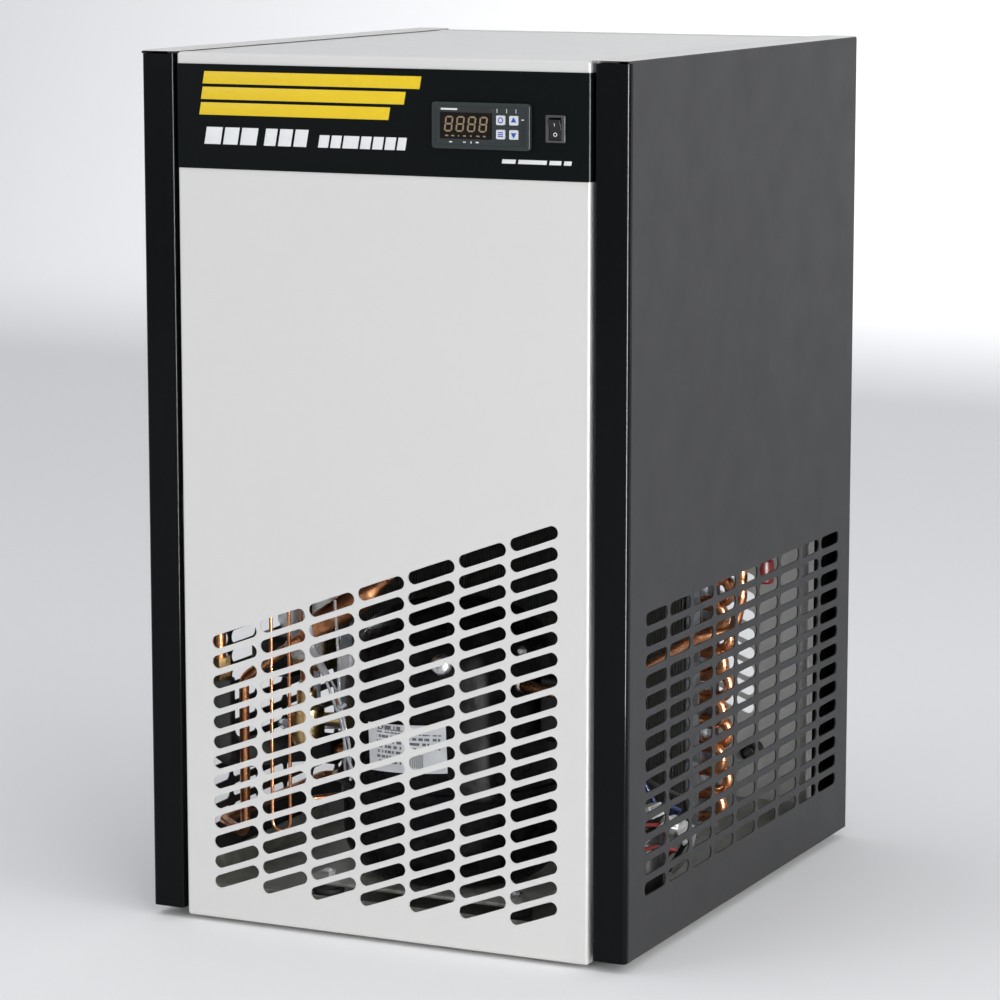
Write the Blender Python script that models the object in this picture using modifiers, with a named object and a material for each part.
"""Refrigerated compressed-air dryer in an upright sheet-metal cabinet.

Every physical piece is its own named object. Lengths are in metres and +Z is up. The pieces are laid
out in the casing frame: its origin is the middle of the casing's underside, +X is to the right of
someone facing the control panel, and -Y is towards that person. One empty carries that frame, so that
the whole dryer stands on z = 0 with its bounding box centred over the world origin.
"""

import math

import bmesh
import bpy
from mathutils import Matrix, Vector

# ---------------------------------------------------------------- driving dimensions
CASE_W = 0.408
CASE_D = 0.474
CASE_H = 0.675
SHEET = 0.0012
GAP = 0.0003
FOOT_H = 0.008

HALF_W = CASE_W / 2
HALF_D = CASE_D / 2
FRONT_Y = -HALF_D
REAR_Y = HALF_D

# Front and rear panels are shallow trays that drop between the corner posts.
PANEL_HALF_W = 0.173
PANEL_TOP_Z = CASE_H - 0.001
FRONT_PANEL_BOTTOM_Z = -0.0045
FLANGE = 0.0127
FOLD_R = 0.0025

# Corner posts are folded channels; the side panels lap over a joggle in the front ones.
POST_INNER_X = 0.1765
POST_LIP_X = 0.188
POST_CORNER_R = 0.0035
POST_SIDE_Y = 0.231
POST_BACK_Y = 0.214
LAP_X = HALF_W - SHEET - GAP
ROOF_FLANGE_X = PANEL_HALF_W + 0.0007
POST_TOP_Z = CASE_H - FOLD_R - GAP

# Ventilation slots.
SLOT_PITCH_Z = 0.016
SLOT_WIDTH = 0.0105
FRONT_SLOT_LENGTH = 0.0415
FRONT_COLUMN_PITCH = 0.0427
FRONT_COLUMNS = 7
FRONT_SHORTEST_COLUMN = 13
FRONT_SLOT_Z = 0.031
FRONT_SLOT_TILT = math.atan2(SLOT_PITCH_Z, FRONT_COLUMN_PITCH)
SIDE_SLOT_LENGTH = 0.0415
SIDE_COLUMN_PITCH = 0.0462
SIDE_COLUMNS = 9
SIDE_ROWS = 14
SIDE_SLOT_Y = -0.180
SIDE_SLOT_Z = 0.049
REAR_COLUMNS = 5
REAR_FIRST_X = -0.0715
REAR_ROWS = 9
REAR_SLOT_Z = 0.102

# Control band and what sits in it.
OVERLAY_T = 0.0004
OVERLAY_LOW_Z = 0.5858
OVERLAY_HIGH_Z = 0.6653
OVERLAY_FRONT_Y = FRONT_Y - GAP - OVERLAY_T
CONTROLLER = (0.0866, 0.6246)
BEZEL_SIZE = (0.0774, 0.0330)
BEZEL_T = 0.0042
BEZEL_FRONT_Y = OVERLAY_FRONT_Y - GAP - BEZEL_T
CONTROLLER_BODY = (0.0704, 0.0284)
CONTROLLER_DEPTH = 0.058
DISPLAY = (0.07465, 0.6246)
DISPLAY_SIZE = (0.0420, 0.0190)
DISPLAY_T = 0.0016
KEY_SIZE = (0.0076, 0.0073)
KEY_T = 0.0028
KEY_PROUD = 0.0004
KEY_POCKET_DEPTH = 0.0038
KEY_X = (0.1032, 0.1138)
KEY_Z = (0.6294, 0.6190)
SWITCH = (0.1461, 0.6240)
SWITCH_BEZEL = (0.0158, 0.0202)
SWITCH_BEZEL_T = 0.0020
SWITCH_BODY = (0.0126, 0.0186)
SWITCH_DEPTH = 0.014
ROCKER_SIZE = (0.0096, 0.0148)
ROCKER_WELL = (0.0104, 0.0168)
ROCKER_SWING = math.radians(12)
ROCKER_PIVOT_Y = OVERLAY_FRONT_Y - 0.0006
CUTOUT_PLAY = 0.0006

# Refrigeration machinery.
COMPRESSOR = (0.005, -0.120)
SHELL_R = 0.088
SHELL_BOTTOM_Z = 0.0236
CONDENSER_HALF_W = 0.150
CONDENSER_FRONT_Y = 0.005
CONDENSER_REAR_Y = 0.049
CONDENSER_LOW_Z = 0.038
CONDENSER_HIGH_Z = 0.298
TUBE_Y = 0.027
TUBE_R = 0.00475
TUBE_TOP_Z = 0.285
TUBE_PITCH = 0.0195
TUBE_PASSES = 13
TUBE_STRAIGHT_X = 0.165
TUBE_END_X = 0.172
FAN_Z = 0.1725
SHROUD_REAR_Y = 0.070
SHROUD_HOLE_R = 0.104
FAN_R = 0.097
HUB_R = 0.024
MOTOR_R = 0.040

# Air circuit.
SHELF_Z = 0.336
SHELF_FRONT_Y = -0.150
EXCHANGER_LOW = (-0.165, -0.140, SHELF_Z + GAP)
EXCHANGER_HIGH = (0.025, 0.100, 0.580)
SEPARATOR = (-0.130, -0.100)
SEPARATOR_R = 0.030
PORT_Z = 0.520
INLET_X = -0.110
OUTLET_X = -0.030
PORT_BORE_R = 0.015
PORT_BODY_R = 0.020
FITTING_INNER_Y = 0.2125
FITTING_REACH = 0.020
REAR_REACH_Y = REAR_Y + FITTING_REACH
DRAIN = (-0.060, 0.045)
GLAND = (0.120, 0.060)

CASE_Y = (-(BEZEL_FRONT_Y - KEY_PROUD) - REAR_REACH_Y) / 2


# ---------------------------------------------------------------- scene, collections and finishes
def start_scene():
    for obj in list(bpy.data.objects):
        bpy.data.objects.remove(obj)


def new_collection(name):
    collection = bpy.data.collections.new(name)
    bpy.context.scene.collection.children.link(collection)
    return collection


def finish(name, colour, roughness, metallic=0.0):
    material = bpy.data.materials.new(name)
    material.use_nodes = True
    shader = material.node_tree.nodes["Principled BSDF"]
    shader.inputs["Base Color"].default_value = (*colour, 1)
    shader.inputs["Roughness"].default_value = roughness
    shader.inputs["Metallic"].default_value = metallic
    return material


start_scene()
PARTS = new_collection("refrigerated_air_dryer")
CUTTERS = new_collection("cutters")
CASING = bpy.data.objects.new("casing_frame", None)
CASING.location = (0, CASE_Y, FOOT_H)
PARTS.objects.link(CASING)

LIGHT_PAINT = finish("light_grey_paint", (0.72, 0.72, 0.70), 0.45)
BLACK_PAINT = finish("gloss_black_paint", (0.010, 0.011, 0.012), 0.12)
DARK_PAINT = finish("dark_grey_paint", (0.085, 0.085, 0.088), 0.42)
OVERLAY_FILM = finish("black_overlay_film", (0.008, 0.010, 0.010), 0.18)
GALVANISED = finish("galvanised_steel", (0.45, 0.46, 0.46), 0.42, 0.9)
DARK_PLASTIC = finish("dark_grey_plastic", (0.055, 0.058, 0.060), 0.45)
DISPLAY_PLASTIC = finish("smoked_display_plastic", (0.020, 0.015, 0.012), 0.10)
WHITE_PLASTIC = finish("white_key_plastic", (0.80, 0.80, 0.82), 0.40)
CREAM_PLASTIC = finish("cream_terminal_plastic", (0.72, 0.69, 0.60), 0.45)
BLACK_PLASTIC = finish("black_plastic", (0.015, 0.015, 0.016), 0.35)
RUBBER = finish("black_rubber", (0.018, 0.018, 0.018), 0.80)
FOAM = finish("black_insulation_foam", (0.020, 0.020, 0.021), 0.92)
COPPER = finish("copper", (0.72, 0.33, 0.18), 0.30, 1.0)
BRASS = finish("brass", (0.74, 0.55, 0.26), 0.32, 1.0)
ALUMINIUM = finish("aluminium", (0.72, 0.73, 0.74), 0.38, 1.0)
FIN_PAINT = finish("black_fin_coating", (0.020, 0.021, 0.022), 0.50)
SHELL_PAINT = finish("compressor_black_enamel", (0.008, 0.008, 0.009), 0.16)
HOSE = finish("clear_drain_hose", (0.62, 0.62, 0.60), 0.35)


# ---------------------------------------------------------------- objects, cutters and modifiers
def add_part(name, data, material):
    obj = bpy.data.objects.new(name, data)
    obj.parent = CASING
    data.materials.append(material)
    PARTS.objects.link(obj)
    return obj


def add_tool(name, mesh):
    obj = bpy.data.objects.new(name, mesh)
    obj.parent = CASING
    obj.hide_render = True
    obj.display_type = "WIRE"
    CUTTERS.objects.link(obj)
    return obj


def mesh_from(bm, name):
    bmesh.ops.recalc_face_normals(bm, faces=bm.faces)
    mesh = bpy.data.meshes.new(name)
    bm.to_mesh(mesh)
    bm.free()
    return mesh


def combine(target, tool, operation="DIFFERENCE"):
    modifier = target.modifiers.new(operation.lower() + "_" + tool.name, "BOOLEAN")
    modifier.operation = operation
    modifier.solver = "EXACT"
    modifier.object = tool


def bevel(obj, width, segments=2, angle=30):
    modifier = obj.modifiers.new("rounded_edges", "BEVEL")
    modifier.width = width
    modifier.segments = segments
    modifier.limit_method = "ANGLE"
    modifier.angle_limit = math.radians(angle)


def thicken(obj, thickness):
    modifier = obj.modifiers.new("sheet", "SOLIDIFY")
    modifier.thickness = thickness
    modifier.offset = -1
    modifier.use_even_offset = True


def smooth(obj, angle=35):
    obj.data.shade_smooth()
    obj.data.set_sharp_from_angle(angle=math.radians(angle))


AXIS_TURN = {
    "X": Matrix.Rotation(math.pi / 2, 4, "Y"),
    "Y": Matrix.Rotation(-math.pi / 2, 4, "X"),
    "Z": Matrix.Identity(4),
}


# ---------------------------------------------------------------- basic shapes
def box_mesh(size, name="box"):
    bm = bmesh.new()
    bmesh.ops.create_cube(bm, size=1)
    bmesh.ops.scale(bm, vec=Vector(size), verts=bm.verts)
    return mesh_from(bm, name)


def corners_to_box(low, high):
    low = Vector(low)
    high = Vector(high)
    return high - low, (low + high) / 2


def box(name, low, high, material, edge=0.0):
    size, centre = corners_to_box(low, high)
    obj = add_part(name, box_mesh(size, name), material)
    obj.location = centre
    if edge:
        bevel(obj, edge, 1)
    return obj


def box_tool(name, low, high):
    size, centre = corners_to_box(low, high)
    obj = add_tool(name, box_mesh(size, name))
    obj.location = centre
    return obj


def cylinder_bm(radius, start, end, axis, sides):
    """A capped cylinder about the named axis, between two places along it."""
    bm = bmesh.new()
    turn = AXIS_TURN[axis] @ Matrix.Translation((0, 0, (start + end) / 2))
    bmesh.ops.create_cone(
        bm, cap_ends=True, segments=sides, radius1=radius, radius2=radius, depth=end - start, matrix=turn
    )
    return bm


def cylinder(name, radius, start, end, centre, axis, material, sides=16):
    obj = add_part(name, mesh_from(cylinder_bm(radius, start, end, axis, sides), name), material)
    obj.location = centre
    smooth(obj)
    return obj


def cylinder_tool(name, radius, start, end, centre, axis, sides=16):
    obj = add_tool(name, mesh_from(cylinder_bm(radius, start, end, axis, sides), name))
    obj.location = centre
    return obj


def turned(name, profile, centre, material, steps=16, axis="Z", closed=False):
    """A shape turned about an axis through its origin.

    The profile holds (radius, height) pairs that run down the outer side from top to bottom. A closed
    profile is a ring's section; an open one starts and ends on the axis.
    """
    bm = bmesh.new()
    points = [bm.verts.new((radius, 0, height)) for radius, height in profile]
    for first, second in zip(points, points[1:]):
        bm.edges.new((first, second))
    if closed:
        bm.edges.new((points[-1], points[0]))
    mesh = bpy.data.meshes.new(name)
    bm.to_mesh(mesh)
    bm.free()
    obj = add_part(name, mesh, material)
    obj.location = centre
    obj.rotation_euler = AXIS_TURN[axis].to_euler()
    screw = obj.modifiers.new("turned", "SCREW")
    screw.axis = "Z"
    screw.steps = steps
    screw.render_steps = steps
    screw.use_merge_vertices = True
    screw.merge_threshold = 0.00005
    screw.use_smooth_shade = True
    return obj


def fillet(previous, corner, following, radius, steps):
    """Points of the arc that rounds a corner, or the corner itself if its radius is nothing."""
    towards_previous = (previous - corner).normalized()
    towards_following = (following - corner).normalized()
    angle = towards_previous.angle(towards_following)
    if radius <= 0 or angle > math.pi - 0.02:
        return [corner]
    reach = radius / math.tan(angle / 2)
    start = corner + towards_previous * reach
    middle = (towards_previous + towards_following).normalized()
    centre = corner + middle * (radius / math.sin(angle / 2))
    normal = towards_previous.cross(towards_following).normalized()
    sweep = math.pi - angle
    arm = start - centre
    turns = [Matrix.Rotation(-sweep * step / steps, 3, normal) for step in range(steps + 1)]
    points = [centre + turn @ arm for turn in turns]
    target = corner + towards_following * reach
    if (points[-1] - target).length > radius * 0.01:
        turns = [Matrix.Rotation(sweep * step / steps, 3, normal) for step in range(steps + 1)]
        points = [centre + turn @ arm for turn in turns]
    return points


def rounded_path(route, radii, steps):
    """The route with its inner corners rounded; radii is one radius, or one for each inner corner."""
    route = [Vector(point) for point in route]
    if not isinstance(radii, (list, tuple)):
        radii = [radii] * (len(route) - 2)
    points = [route[0]]
    for index, radius in enumerate(radii, start=1):
        points += fillet(route[index - 1], route[index], route[index + 1], radius, steps)
    return points + [route[-1]]


def tube(name, route, radius, material, bend=0.015, steps=3):
    """A bent tube along straight runs joined by round bends."""
    points = rounded_path(route, bend, steps)
    curve = bpy.data.curves.new(name, "CURVE")
    curve.dimensions = "3D"
    curve.bevel_depth = radius
    curve.bevel_resolution = 2
    curve.use_fill_caps = True
    spline = curve.splines.new("POLY")
    spline.points.add(len(points) - 1)
    for target, point in zip(spline.points, points):
        target.co = (*point, 1)
    return add_part(name, curve, material)


# ---------------------------------------------------------------- sheet-metal shapes
def folded_strip(name, section, radii, axis, start, end, material, thickness=SHEET, outward=1):
    """Sheet folded along straight lines: the section is the outer side, swept along Y or Z.

    Outward is 1 or -1 and picks which side of the section is the outer one.
    """
    if axis == "Z":
        place = [Vector((u, v, 0)) for u, v in section]
        reach = Vector((0, 0, end - start))
        lift = Vector((0, 0, start))
    else:
        place = [Vector((u, 0, v)) for u, v in section]
        reach = Vector((0, end - start, 0))
        lift = Vector((0, start, 0))
    bm = bmesh.new()
    verts = [bm.verts.new(point + lift) for point in rounded_path(place, radii, 2)]
    edges = [bm.edges.new(pair) for pair in zip(verts, verts[1:])]
    swept = bmesh.ops.extrude_edge_only(bm, edges=edges)["geom"]
    moved = [item for item in swept if isinstance(item, bmesh.types.BMVert)]
    bmesh.ops.translate(bm, vec=reach, verts=moved)
    bmesh.ops.recalc_face_normals(bm, faces=bm.faces)
    first_run = place[1] - place[0]
    outer = first_run.cross(reach) * outward
    if edges[0].link_faces[0].normal.dot(outer) < 0:
        bmesh.ops.reverse_faces(bm, faces=bm.faces)
    mesh = bpy.data.meshes.new(name)
    bm.to_mesh(mesh)
    bm.free()
    obj = add_part(name, mesh, material)
    thicken(obj, thickness)
    return obj


def tray(name, low, high, open_towards, material, fold=FOLD_R, thickness=SHEET):
    """A shallow folded tray: a box with one side missing, its folds rounded, in one thickness."""
    size, centre = corners_to_box(low, high)
    open_towards = Vector(open_towards)
    bm = bmesh.new()
    bmesh.ops.create_cube(bm, size=1)
    bmesh.ops.scale(bm, vec=size, verts=bm.verts)
    lid = [face for face in bm.faces if face.normal.dot(open_towards) > 0.9]
    bmesh.ops.delete(bm, geom=lid, context="FACES_ONLY")
    mesh = bpy.data.meshes.new(name)
    bm.to_mesh(mesh)
    bm.free()
    obj = add_part(name, mesh, material)
    obj.location = centre
    bevel(obj, fold, 2)
    thicken(obj, thickness)
    return obj


def slot_outline(length, width, tilt, arc_steps):
    """Corners of a round-ended slot centred on the origin of its plane."""
    radius = width / 2
    straight = length / 2 - radius
    points = []
    for side in (1, -1):
        for step in range(arc_steps + 1):
            angle = math.pi * step / arc_steps - math.pi / 2
            u = side * (straight + radius * math.cos(angle))
            v = side * radius * math.sin(angle)
            points.append((u * math.cos(tilt) - v * math.sin(tilt), u * math.sin(tilt) + v * math.cos(tilt)))
    return points


def slot_cutter(name, centres, outline, across, start, end):
    """One cutter holding a prism for each slot; across is the axis that the slots run through."""
    bm = bmesh.new()
    for centre_u, centre_z in centres:
        rings = []
        for depth in (start, end):
            if across == "Y":
                ring = [(centre_u + u, depth, centre_z + v) for u, v in outline]
            else:
                ring = [(depth, centre_u + u, centre_z + v) for u, v in outline]
            rings.append([bm.verts.new(point) for point in ring])
        bottom, top = rings
        bm.faces.new(bottom)
        bm.faces.new(top)
        for index in range(len(bottom)):
            following = (index + 1) % len(bottom)
            bm.faces.new((bottom[index], bottom[following], top[following], top[index]))
    return add_tool(name, mesh_from(bm, name))


# ---------------------------------------------------------------- cabinet
def base_pan():
    half_w = LAP_X - SHEET - GAP
    half_d = HALF_D - FLANGE - GAP
    low = (-half_w, -half_d, 0)
    high = (half_w, half_d, 0.020)
    tray("base_pan", low, high, (0, 0, 1), GALVANISED, thickness=0.0015)


def feet():
    foot_r = 0.015
    profile = [(0, -GAP), (foot_r, -GAP), (foot_r, -0.003), (0.012, -FOOT_H), (0, -FOOT_H)]
    for depth, y in (("front", -0.185), ("rear", 0.185)):
        for side, x in (("left", -0.155), ("right", 0.155)):
            turned(f"foot_{depth}_{side}", profile, (x, y, 0), RUBBER, steps=12)


def front_grille_centres():
    first_x = -FRONT_COLUMN_PITCH * (FRONT_COLUMNS - 1) / 2
    centres = []
    for column in range(FRONT_COLUMNS):
        for row in range(FRONT_SHORTEST_COLUMN + column):
            centres.append((first_x + column * FRONT_COLUMN_PITCH, FRONT_SLOT_Z + row * SLOT_PITCH_Z))
    return centres


def front_panel():
    panel = tray(
        "front_panel",
        (-PANEL_HALF_W, FRONT_Y, FRONT_PANEL_BOTTOM_Z),
        (PANEL_HALF_W, FRONT_Y + FLANGE, PANEL_TOP_Z),
        (0, 1, 0),
        LIGHT_PAINT,
    )
    outline = slot_outline(FRONT_SLOT_LENGTH, SLOT_WIDTH, FRONT_SLOT_TILT, 2)
    reach = SHEET * 3
    slots = slot_cutter(
        "front_slots", front_grille_centres(), outline, "Y", FRONT_Y - reach, FRONT_Y + reach
    )
    combine(panel, slots)
    for name, centre, size in (
        ("controller_cutout", CONTROLLER, CONTROLLER_BODY),
        ("switch_cutout", SWITCH, SWITCH_BODY),
    ):
        combine(panel, control_cutout("panel_" + name, centre, size))


def control_cutout(name, centre, size):
    """A rectangular hole in the control band, a little larger than the body that goes through it."""
    half_w = size[0] / 2 + CUTOUT_PLAY
    half_h = size[1] / 2 + CUTOUT_PLAY
    low = (centre[0] - half_w, FRONT_Y - 0.004, centre[1] - half_h)
    high = (centre[0] + half_w, FRONT_Y + 0.004, centre[1] + half_h)
    return box_tool(name, low, high)


def control_overlay():
    outer_x = PANEL_HALF_W + GAP + OVERLAY_T
    wrap_y = FRONT_Y + 0.010
    section = [
        (-outer_x, wrap_y),
        (-outer_x, OVERLAY_FRONT_Y),
        (outer_x, OVERLAY_FRONT_Y),
        (outer_x, wrap_y),
    ]
    film = folded_strip(
        "control_overlay",
        section,
        FOLD_R + GAP + OVERLAY_T,
        "Z",
        OVERLAY_LOW_Z,
        OVERLAY_HIGH_Z,
        OVERLAY_FILM,
        thickness=OVERLAY_T,
    )
    combine(film, control_cutout("overlay_controller_cutout", CONTROLLER, CONTROLLER_BODY))
    combine(film, control_cutout("overlay_switch_cutout", SWITCH, SWITCH_BODY))


def front_posts():
    lip_y = FRONT_Y + FLANGE
    for side, sign in (("left", -1), ("right", 1)):
        section = [
            (sign * POST_LIP_X, lip_y),
            (sign * POST_INNER_X, lip_y),
            (sign * POST_INNER_X, FRONT_Y),
            (sign * HALF_W, FRONT_Y),
            (sign * HALF_W, -POST_SIDE_Y),
            (sign * LAP_X, -POST_SIDE_Y),
            (sign * LAP_X, -POST_BACK_Y),
        ]
        radii = [0.0015, FOLD_R, POST_CORNER_R, 0, 0]
        folded_strip(f"front_post_{side}", section, radii, "Z", 0, POST_TOP_Z, BLACK_PAINT, outward=sign)


def rear_posts():
    lip_y = REAR_Y - FLANGE
    for side, sign in (("left", -1), ("right", 1)):
        section = [
            (sign * POST_LIP_X, lip_y),
            (sign * POST_INNER_X, lip_y),
            (sign * POST_INNER_X, REAR_Y),
            (sign * LAP_X, REAR_Y),
            (sign * LAP_X, POST_BACK_Y),
        ]
        radii = [0.0015, FOLD_R, FOLD_R]
        folded_strip(f"rear_post_{side}", section, radii, "Z", 0, POST_TOP_Z, BLACK_PAINT, outward=-sign)


def side_panels():
    """Each side panel folds over the roof; its upright leaves the front post's corner uncovered."""
    centres = []
    for column in range(SIDE_COLUMNS):
        for row in range(SIDE_ROWS):
            centres.append((SIDE_SLOT_Y + column * SIDE_COLUMN_PITCH, SIDE_SLOT_Z + row * SLOT_PITCH_Z))
    outline = slot_outline(SIDE_SLOT_LENGTH, SLOT_WIDTH, 0, 2)
    for side, sign in (("left", -1), ("right", 1)):
        section = [(sign * ROOF_FLANGE_X, CASE_H), (sign * HALF_W, CASE_H), (sign * HALF_W, 0)]
        panel = folded_strip(
            f"side_panel_{side}", section, FOLD_R, "Y", FRONT_Y + GAP, REAR_Y, DARK_PAINT, outward=sign
        )
        start, end = sorted((sign * (HALF_W - 3 * SHEET), sign * (HALF_W + 3 * SHEET)))
        combine(panel, slot_cutter(f"side_slots_{side}", centres, outline, "X", start, end))
        low_x, high_x = sorted((sign * (HALF_W - 4 * SHEET), sign * (HALF_W + 4 * SHEET)))
        notch = box_tool(
            f"post_notch_{side}",
            (low_x, FRONT_Y - 0.005, -0.005),
            (high_x, -POST_SIDE_Y + GAP, POST_TOP_Z + 0.0001),
        )
        combine(panel, notch)


def top_panel():
    half_d = HALF_D - FLANGE - GAP
    top_z = CASE_H - SHEET - GAP
    tray("top_panel", (-0.190, -half_d, top_z - 0.012), (0.190, half_d, top_z), (0, 0, -1), LIGHT_PAINT)


def rear_panel():
    panel = tray(
        "rear_panel",
        (-PANEL_HALF_W, REAR_Y - FLANGE, 0),
        (PANEL_HALF_W, REAR_Y, PANEL_TOP_Z),
        (0, -1, 0),
        LIGHT_PAINT,
    )
    first_x = REAR_FIRST_X
    centres = []
    for column in range(REAR_COLUMNS):
        for row in range(REAR_ROWS):
            centres.append((first_x + column * FRONT_COLUMN_PITCH, REAR_SLOT_Z + row * SLOT_PITCH_Z))
    outline = slot_outline(FRONT_SLOT_LENGTH, SLOT_WIDTH, -FRONT_SLOT_TILT, 2)
    reach = SHEET * 3
    combine(panel, slot_cutter("rear_slots", centres, outline, "Y", REAR_Y - reach, REAR_Y + reach))
    for name, x, z, radius in (
        ("inlet", INLET_X, PORT_Z, PORT_BODY_R),
        ("outlet", OUTLET_X, PORT_Z, PORT_BODY_R),
        ("drain", DRAIN[0], DRAIN[1], 0.007),
        ("gland", GLAND[0], GLAND[1], 0.008),
    ):
        hole = cylinder_tool(f"{name}_hole", radius + 0.0008, -reach, reach, (x, REAR_Y, z), "Y", 20)
        combine(panel, hole)


# ---------------------------------------------------------------- control panel
def controller():
    centre_x, centre_z = CONTROLLER
    back_y = OVERLAY_FRONT_Y - GAP
    body_rear_y = back_y + CONTROLLER_DEPTH
    housing = box(
        "controller_housing",
        (centre_x - BEZEL_SIZE[0] / 2, BEZEL_FRONT_Y, centre_z - BEZEL_SIZE[1] / 2),
        (centre_x + BEZEL_SIZE[0] / 2, back_y, centre_z + BEZEL_SIZE[1] / 2),
        DARK_PLASTIC,
        edge=0.0012,
    )
    body = box_tool(
        "controller_body",
        (centre_x - CONTROLLER_BODY[0] / 2, BEZEL_FRONT_Y + 0.0040, centre_z - CONTROLLER_BODY[1] / 2),
        (centre_x + CONTROLLER_BODY[0] / 2, body_rear_y, centre_z + CONTROLLER_BODY[1] / 2),
    )
    combine(housing, body, "UNION")
    half_w, half_h = DISPLAY_SIZE[0] / 2 + GAP, DISPLAY_SIZE[1] / 2 + GAP
    window = box_tool(
        "display_window",
        (DISPLAY[0] - half_w, BEZEL_FRONT_Y - 0.002, DISPLAY[1] - half_h),
        (DISPLAY[0] + half_w, BEZEL_FRONT_Y + DISPLAY_T + GAP, DISPLAY[1] + half_h),
    )
    combine(housing, window)
    box(
        "controller_display",
        (DISPLAY[0] - DISPLAY_SIZE[0] / 2, BEZEL_FRONT_Y, DISPLAY[1] - DISPLAY_SIZE[1] / 2),
        (DISPLAY[0] + DISPLAY_SIZE[0] / 2, BEZEL_FRONT_Y + DISPLAY_T, DISPLAY[1] + DISPLAY_SIZE[1] / 2),
        DISPLAY_PLASTIC,
    )
    names = (("key_set", 0, 0), ("key_up", 1, 0), ("key_function", 0, 1), ("key_down", 1, 1))
    for name, column, row in names:
        controller_key(name, housing, KEY_X[column], KEY_Z[row])
    box(
        "controller_terminals",
        (centre_x - 0.031, body_rear_y + GAP, centre_z - 0.011),
        (centre_x + 0.031, body_rear_y + 0.009, centre_z + 0.011),
        CREAM_PLASTIC,
        edge=0.001,
    )


def controller_key(name, housing, x, z):
    half_w, half_h = KEY_SIZE[0] / 2, KEY_SIZE[1] / 2
    pocket = box_tool(
        name + "_pocket",
        (x - half_w - GAP, BEZEL_FRONT_Y - 0.002, z - half_h - GAP),
        (x + half_w + GAP, BEZEL_FRONT_Y + KEY_POCKET_DEPTH, z + half_h + GAP),
    )
    combine(housing, pocket)
    front_y = BEZEL_FRONT_Y - KEY_PROUD
    box(
        name,
        (x - half_w, front_y, z - half_h),
        (x + half_w, front_y + KEY_T, z + half_h),
        WHITE_PLASTIC,
    )


def switch():
    centre_x, centre_z = SWITCH
    back_y = OVERLAY_FRONT_Y - GAP
    front_y = back_y - SWITCH_BEZEL_T
    frame = box(
        "switch_frame",
        (centre_x - SWITCH_BEZEL[0] / 2, front_y, centre_z - SWITCH_BEZEL[1] / 2),
        (centre_x + SWITCH_BEZEL[0] / 2, back_y, centre_z + SWITCH_BEZEL[1] / 2),
        DARK_PLASTIC,
        edge=0.0006,
    )
    body = box_tool(
        "switch_body",
        (centre_x - SWITCH_BODY[0] / 2, front_y + 0.0015, centre_z - SWITCH_BODY[1] / 2),
        (centre_x + SWITCH_BODY[0] / 2, back_y + SWITCH_DEPTH, centre_z + SWITCH_BODY[1] / 2),
    )
    combine(frame, body, "UNION")
    well = box_tool(
        "rocker_well",
        (centre_x - ROCKER_WELL[0] / 2, front_y - 0.003, centre_z - ROCKER_WELL[1] / 2),
        (centre_x + ROCKER_WELL[0] / 2, front_y + 0.0105, centre_z + ROCKER_WELL[1] / 2),
    )
    combine(frame, well)
    switch_rocker(centre_x, centre_z)


def switch_rocker(centre_x, centre_z):
    """A rocker with two shallow faces, stored with its lower half pressed in, which is off."""
    half_h = ROCKER_SIZE[1] / 2
    section = [
        (-0.0030, -half_h),
        (-0.0014, 0),
        (-0.0030, half_h),
        (0.0005, half_h - 0.0002),
        (0.0050, 0.0042),
        (0.0050, -0.0042),
        (0.0005, -half_h + 0.0002),
    ]
    bm = bmesh.new()
    face = bm.faces.new([bm.verts.new((-ROCKER_SIZE[0] / 2, y, z)) for y, z in section])
    swept = bmesh.ops.extrude_face_region(bm, geom=[face])["geom"]
    moved = [item for item in swept if isinstance(item, bmesh.types.BMVert)]
    bmesh.ops.translate(bm, vec=(ROCKER_SIZE[0], 0, 0), verts=moved)
    rocker = add_part("switch_rocker", mesh_from(bm, "switch_rocker"), BLACK_PLASTIC)
    rocker.location = (centre_x, ROCKER_PIVOT_Y, centre_z)
    rocker.rotation_euler = (ROCKER_SWING, 0, 0)


# ---------------------------------------------------------------- rear connections
def pipe_fitting(name, x, z, body_r, bore_r, hex_r, inner_y, tip, sides=20):
    """A bulkhead fitting: a hexagon against the panel, a collar outside it and a bore right through."""
    hexagon_end = REAR_Y + GAP + tip[0]
    fitting = cylinder(name, body_r, inner_y, REAR_REACH_Y, (x, 0, z), "Y", BRASS, sides)
    hexagon = cylinder_tool(name + "_hexagon", hex_r, REAR_Y + GAP, hexagon_end, (x, 0, z), "Y", 6)
    combine(fitting, hexagon, "UNION")
    if tip[1] < body_r:
        shave = cylinder_tool(name + "_shave", hex_r * 1.5, hexagon_end, REAR_REACH_Y + 0.01, (x, 0, z), "Y", 8)
        core = cylinder_tool(name + "_core", tip[1], hexagon_end - 0.004, REAR_REACH_Y, (x, 0, z), "Y", sides)
        combine(fitting, shave)
        combine(fitting, core, "UNION")
    bore = cylinder_tool(name + "_bore", bore_r, inner_y - 0.01, REAR_REACH_Y + 0.01, (x, 0, z), "Y", sides)
    combine(fitting, bore)
    return fitting


def rear_connections():
    for name, x in (("air_inlet_fitting", INLET_X), ("air_outlet_fitting", OUTLET_X)):
        pipe_fitting(name, x, PORT_Z, PORT_BODY_R, PORT_BORE_R, 0.0265, FITTING_INNER_Y, (0.012, PORT_BODY_R))
    pipe_fitting("condensate_outlet", *DRAIN, 0.007, 0.0025, 0.0105, 0.2145, (0.007, 0.0045), sides=12)
    gland = pipe_fitting("cable_gland", *GLAND, 0.008, 0.0045, 0.0125, 0.222, (0.008, 0.0085), sides=12)
    gland.data.materials[0] = BLACK_PLASTIC


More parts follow.
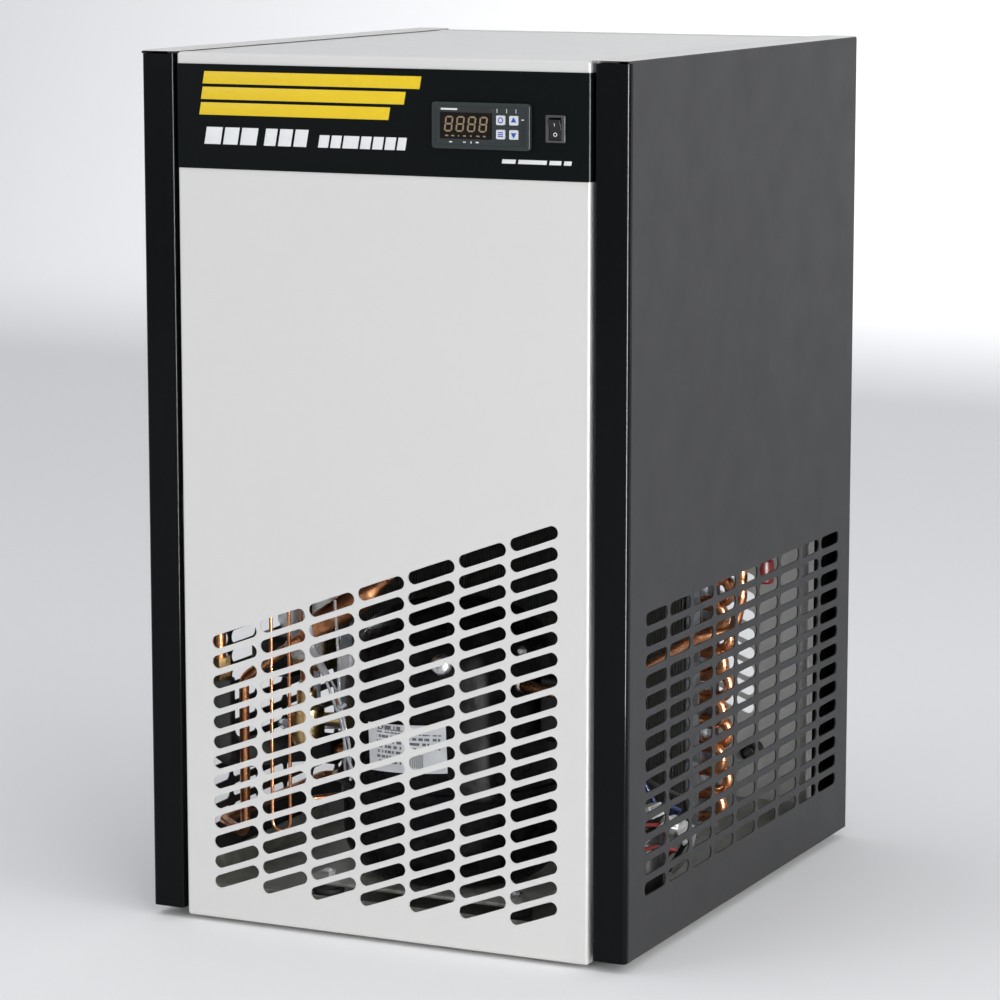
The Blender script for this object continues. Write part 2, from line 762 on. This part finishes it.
# ---------------------------------------------------------------- compressor
def compressor():
    x, y = COMPRESSOR
    shell = [
        (0, 0.243),
        (0.030, 0.2415),
        (0.056, 0.234),
        (0.074, 0.219),
        (0.084, 0.199),
        (0.0875, 0.175),
        (SHELL_R, 0.106),
        (0.093, 0.105),
        (0.093, 0.100),
        (SHELL_R, 0.099),
        (SHELL_R, 0.062),
        (0.081, 0.038),
        (0.062, 0.026),
        (0.040, SHELL_BOTTOM_Z),
        (0, SHELL_BOTTOM_Z),
    ]
    turned("compressor_shell", shell, (x, y, 0), SHELL_PAINT, steps=24)
    plate_top = SHELL_BOTTOM_Z - GAP
    plate_low = plate_top - 0.003
    box("compressor_plate", (x - 0.098, y - 0.075, plate_low), (x + 0.098, y + 0.075, plate_top), SHELL_PAINT, 0.001)
    grommet = [(0, plate_low - GAP), (0.010, plate_low - GAP), (0.013, 0.012), (0.013, 0.0018), (0, 0.0018)]
    for depth, offset_y in (("front", -0.060), ("rear", 0.060)):
        for side, offset_x in (("left", -0.082), ("right", 0.082)):
            turned(f"grommet_{depth}_{side}", grommet, (x + offset_x, y + offset_y, 0), RUBBER, steps=10)
    cover_x = x + SHELL_R + 0.0006
    box("compressor_terminal_cover", (cover_x, y - 0.030, 0.142), (cover_x + 0.025, y + 0.030, 0.196), BLACK_PLASTIC, 0.003)


# ---------------------------------------------------------------- condenser and fan
def pass_heights():
    return [TUBE_TOP_Z - TUBE_PITCH * index for index in range(TUBE_PASSES)]


def condenser():
    fins = box(
        "condenser_fins",
        (-CONDENSER_HALF_W, CONDENSER_FRONT_Y, CONDENSER_LOW_Z),
        (CONDENSER_HALF_W, CONDENSER_REAR_Y, CONDENSER_HIGH_Z),
        FIN_PAINT,
    )
    clear_r = TUBE_R + 0.0009
    reach = CONDENSER_HALF_W + 0.01
    bm = bmesh.new()
    for height in pass_heights():
        turn = Matrix.Translation((0, TUBE_Y, height)) @ AXIS_TURN["X"]
        bmesh.ops.create_cone(
            bm, cap_ends=True, segments=8, radius1=clear_r, radius2=clear_r, depth=2 * reach, matrix=turn
        )
    combine(fins, add_tool("pass_holes", mesh_from(bm, "pass_holes")))
    condenser_serpentine()
    for side, sign in (("left", -1), ("right", 1)):
        condenser_end(side, sign)


def condenser_serpentine():
    """One tube that runs to and fro through the fins, with a round bend at the end of each pass."""
    bend_steps = 4
    bend_r = TUBE_PITCH / 2
    points = [Vector((TUBE_END_X, TUBE_Y, TUBE_TOP_Z))]
    side = -1
    heights = pass_heights()
    for height, following in zip(heights, heights[1:]):
        middle = (height + following) / 2
        for step in range(bend_steps + 1):
            angle = math.pi / 2 - math.pi * step / bend_steps
            x = side * (TUBE_STRAIGHT_X + bend_r * math.cos(angle))
            points.append(Vector((x, TUBE_Y, middle + bend_r * math.sin(angle))))
        side = -side
    points.append(Vector((side * TUBE_END_X, TUBE_Y, heights[-1])))
    tube("condenser_serpentine", points, TUBE_R, COPPER, bend=0)


def condenser_end(side, sign):
    """The galvanised plate at one end of the coil: a channel with a window for the tube bends."""
    plate_x = CONDENSER_HALF_W + GAP
    lip_x = plate_x + 0.012
    section = [
        (sign * lip_x, CONDENSER_FRONT_Y),
        (sign * plate_x, CONDENSER_FRONT_Y),
        (sign * plate_x, CONDENSER_REAR_Y),
        (sign * lip_x, CONDENSER_REAR_Y),
    ]
    plate = folded_strip(
        f"condenser_end_{side}",
        section,
        0.0015,
        "Z",
        CONDENSER_LOW_Z,
        CONDENSER_HIGH_Z,
        GALVANISED,
        outward=-sign,
    )
    low_x, high_x = sorted((sign * (plate_x - 0.005), sign * (plate_x + 0.006)))
    window = box_tool(
        f"bend_window_{side}",
        (low_x, TUBE_Y - 0.008, CONDENSER_LOW_Z + 0.005),
        (high_x, TUBE_Y + 0.008, CONDENSER_HIGH_Z - 0.005),
    )
    combine(plate, window)


def fan():
    shroud = tray(
        "fan_shroud",
        (-CONDENSER_HALF_W, CONDENSER_REAR_Y + GAP, CONDENSER_LOW_Z),
        (CONDENSER_HALF_W, SHROUD_REAR_Y, CONDENSER_HIGH_Z),
        (0, -1, 0),
        GALVANISED,
    )
    hole = cylinder_tool(
        "shroud_hole", SHROUD_HOLE_R, -0.005, 0.005, (0, SHROUD_REAR_Y, FAN_Z), "Y", 28
    )
    combine(shroud, hole)
    fan_rotor()
    motor = [(0, 0.056), (0.030, 0.056), (MOTOR_R, 0.048), (MOTOR_R, 0.008), (0.030, 0), (0, 0)]
    turned("fan_motor", motor, (0, 0.087, FAN_Z), ALUMINIUM, steps=20, axis="Y")
    strap_x = 0.118
    foot_x = 0.134
    strap_y = 0.145
    foot_y = SHROUD_REAR_Y + GAP + 0.0015
    section = [
        (-foot_x, foot_y),
        (-strap_x, foot_y),
        (-strap_x, strap_y),
        (strap_x, strap_y),
        (strap_x, foot_y),
        (foot_x, foot_y),
    ]
    folded_strip(
        "fan_motor_bracket",
        section,
        [0, 0.006, 0.006, 0],
        "Z",
        FAN_Z - 0.012,
        FAN_Z + 0.012,
        GALVANISED,
        thickness=0.0015,
        outward=-1,
    )


def fan_rotor():
    """Hub and five pitched blades, turning about Y."""
    middle_y = 0.074
    hub = cylinder("fan_rotor", HUB_R, -0.012, 0.0125, (0, middle_y, FAN_Z), "Y", BLACK_PLASTIC, 20)
    root_r = 0.016
    blade_count = 5
    pitch = math.radians(30)
    bm = bmesh.new()
    for index in range(blade_count):
        blade = bmesh.ops.create_cube(bm, size=1)["verts"]
        for vert in blade:
            outer = vert.co.x > 0
            chord = 0.056 if outer else 0.015
            twist = Matrix.Rotation(pitch if outer else pitch * 1.25, 3, "X")
            vert.co = Vector((FAN_R if outer else root_r, vert.co.y * 0.0016, vert.co.z * chord))
            vert.co = twist @ vert.co
        turn = Matrix.Rotation(2 * math.pi * index / blade_count, 3, "Y")
        bmesh.ops.transform(bm, matrix=turn.to_4x4(), verts=blade)
    blades = add_tool("fan_blades", mesh_from(bm, "fan_blades"))
    blades.location = (0, middle_y, FAN_Z)
    combine(hub, blades, "UNION")
    trim = cylinder_tool("blade_tip_trim", FAN_R, -0.030, 0.030, (0, middle_y, FAN_Z), "Y", 40)
    combine(hub, trim, "INTERSECT")


# ---------------------------------------------------------------- air circuit
def shelf():
    half_w = 0.200
    plate = tray(
        "exchanger_shelf",
        (-half_w, SHELF_FRONT_Y, SHELF_Z - 0.013),
        (half_w, 0.222, SHELF_Z),
        (0, 0, -1),
        GALVANISED,
    )
    hole = cylinder_tool("separator_neck_hole", 0.0165, -0.01, 0.01, (*SEPARATOR, SHELF_Z), "Z", 16)
    combine(plate, hole)


def heat_exchanger():
    box("heat_exchanger", EXCHANGER_LOW, EXCHANGER_HIGH, FOAM, edge=0.010)


def air_pipes():
    length = FITTING_INNER_Y - GAP - (EXCHANGER_HIGH[1] + GAP)
    outer_r = 0.0167
    inner_r = 0.0140
    section = [(outer_r, length), (outer_r, 0), (inner_r, 0), (inner_r, length)]
    start_y = EXCHANGER_HIGH[1] + GAP
    for name, x in (("air_inlet_pipe", INLET_X), ("air_outlet_pipe", OUTLET_X)):
        turned(name, section, (x, start_y, PORT_Z), COPPER, steps=16, axis="Y", closed=True)


def separator_and_drain():
    top_z = SHELF_Z - SHEET - GAP
    bottom_z = 0.200
    neck_r = 0.014
    profile = [
        (0, SHELF_Z),
        (neck_r, SHELF_Z),
        (neck_r, top_z),
        (SEPARATOR_R, top_z),
        (SEPARATOR_R, bottom_z + 0.012),
        (0.018, bottom_z),
        (0, bottom_z),
    ]
    x, y = SEPARATOR
    turned("moisture_separator", profile, (x, y, 0), ALUMINIUM, steps=20)
    valve_top = bottom_z - GAP
    valve_bottom = valve_top - 0.027
    box("drain_valve_body", (x - 0.015, y - 0.015, valve_bottom), (x + 0.015, y + 0.015, valve_top), BRASS, 0.002)
    coil_x = x - 0.015 - GAP
    box("drain_valve_coil", (coil_x - 0.034, y - 0.018, 0.1645), (coil_x, y + 0.018, 0.1985), BLACK_PLASTIC, 0.004)
    hose_start = (x, y, valve_bottom - GAP)
    route = [
        hose_start,
        (x, y, 0.128),
        (-0.165, -0.085, 0.120),
        (-0.1935, -0.040, 0.108),
        (-0.1935, 0.120, 0.075),
        (-0.165, 0.185, 0.045),
        (DRAIN[0], 0.188, DRAIN[1]),
        (DRAIN[0], 0.2145 - GAP, DRAIN[1]),
    ]
    tube("drain_hose", route, 0.004, HOSE, bend=0.018)


# ---------------------------------------------------------------- refrigerant lines
DRIER = Vector((-0.063, -0.183, 0.239))
DRIER_TILT = math.radians(35)
DRIER_HALF = 0.050


def filter_drier():
    """A spun copper cartridge that narrows to a neck at each end, tilted up to the right."""
    profile = [
        (0, DRIER_HALF),
        (0.0045, DRIER_HALF),
        (0.0050, 0.040),
        (0.0110, 0.030),
        (0.0110, -0.030),
        (0.0050, -0.040),
        (0.0045, -DRIER_HALF),
        (0, -DRIER_HALF),
    ]
    drier = turned("filter_drier", profile, DRIER, COPPER, steps=16)
    drier.rotation_euler = (0, math.pi / 2 - DRIER_TILT, 0)


def drier_end(distance):
    return DRIER + Vector((math.cos(DRIER_TILT), 0, math.sin(DRIER_TILT))) * distance


def refrigerant_lines():
    filter_drier()
    top_z = TUBE_TOP_Z
    bottom_z = pass_heights()[-1]
    discharge = [
        (0.0815, -0.1645, 0.190),
        (0.120, -0.187, 0.192),
        (0.168, -0.187, 0.197),
        (0.168, -0.020, 0.207),
        (0.190, 0.010, 0.210),
        (0.190, TUBE_Y, 0.235),
        (0.190, TUBE_Y, top_z),
        (TUBE_END_X + GAP, TUBE_Y, top_z),
    ]
    tube("discharge_line", discharge, 0.0045, COPPER, bend=0.010)
    lower_end = drier_end(-DRIER_HALF - GAP)
    liquid = [
        (-TUBE_END_X - GAP, TUBE_Y, bottom_z),
        (-0.189, TUBE_Y, bottom_z),
        (-0.189, -0.150, bottom_z),
        (-0.150, -0.183, bottom_z),
        (-0.150, -0.183, lower_end.z - 0.0457 * math.tan(DRIER_TILT)),
        lower_end,
    ]
    tube("liquid_line", liquid, 0.0040, COPPER, bend=0.011)
    exchanger_y = EXCHANGER_LOW[1] - GAP
    capillary = [
        drier_end(DRIER_HALF + GAP),
        drier_end(DRIER_HALF + 0.016),
        (-0.050, -0.200, 0.296),
        (-0.100, -0.200, 0.286),
        (-0.100, -0.200, 0.062),
        (-0.116, -0.200, 0.062),
        (-0.116, -0.200, 0.440),
        (-0.120, exchanger_y, 0.440),
    ]
    tube("capillary_tube", capillary, 0.0014, COPPER, bend=0.0075)
    suction = [
        (-0.140, exchanger_y, 0.400),
        (-0.140, -0.177, 0.400),
        (-0.176, -0.177, 0.365),
        (-0.176, -0.177, 0.112),
        (-0.130, COMPRESSOR[1], 0.112),
        (COMPRESSOR[0] - SHELL_R - 0.0006, COMPRESSOR[1], 0.112),
    ]
    tube("suction_line", suction, 0.0060, COPPER, bend=0.013)
    hot_gas = [(-0.106, exchanger_y, 0.420), (-0.106, -0.160, 0.420), (-0.106, -0.160, 0.1683)]
    tube("hot_gas_line", hot_gas, 0.0050, COPPER, bend=0.011)
    hot_gas_valve()


def hot_gas_valve():
    """A brass bypass valve whose stub reaches the compressor shell."""
    x, y = -0.106, -0.160
    low_z, high_z = 0.124, 0.168
    valve = turned(
        "hot_gas_valve",
        [
            (0, high_z),
            (0.008, high_z),
            (0.008, high_z - 0.012),
            (0.014, high_z - 0.014),
            (0.014, low_z + 0.008),
            (0.011, low_z),
            (0, low_z),
        ],
        (x, y, 0),
        BRASS,
        steps=12,
    )
    to_shell = Vector((COMPRESSOR[0] - x, COMPRESSOR[1] - y, 0))
    stub_length = to_shell.length - SHELL_R - 0.001
    stub = cylinder_tool("hot_gas_stub", 0.005, 0, stub_length, (x, y, low_z + 0.021), "X", 8)
    stub.rotation_euler = (0, 0, math.atan2(to_shell.y, to_shell.x))
    combine(valve, stub, "UNION")


# ---------------------------------------------------------------- electrical parts
def electrical_parts():
    box("terminal_block", (0.160, -0.207, 0.0018), (0.184, -0.157, 0.046), CREAM_PLASTIC, 0.0015)
    capacitor = [(0, 0.080), (0.016, 0.080), (0.019, 0.077), (0.019, 0.0018), (0, 0.0018)]
    turned("run_capacitor", capacitor, (0.165, -0.120, 0), BLACK_PLASTIC, steps=14)


# ---------------------------------------------------------------- assembly
def build():
    base_pan()
    feet()
    front_panel()
    control_overlay()
    front_posts()
    rear_posts()
    side_panels()
    top_panel()
    rear_panel()
    controller()
    switch()
    rear_connections()
    compressor()
    condenser()
    fan()
    shelf()
    heat_exchanger()
    air_pipes()
    separator_and_drain()
    refrigerant_lines()
    electrical_parts()


build()
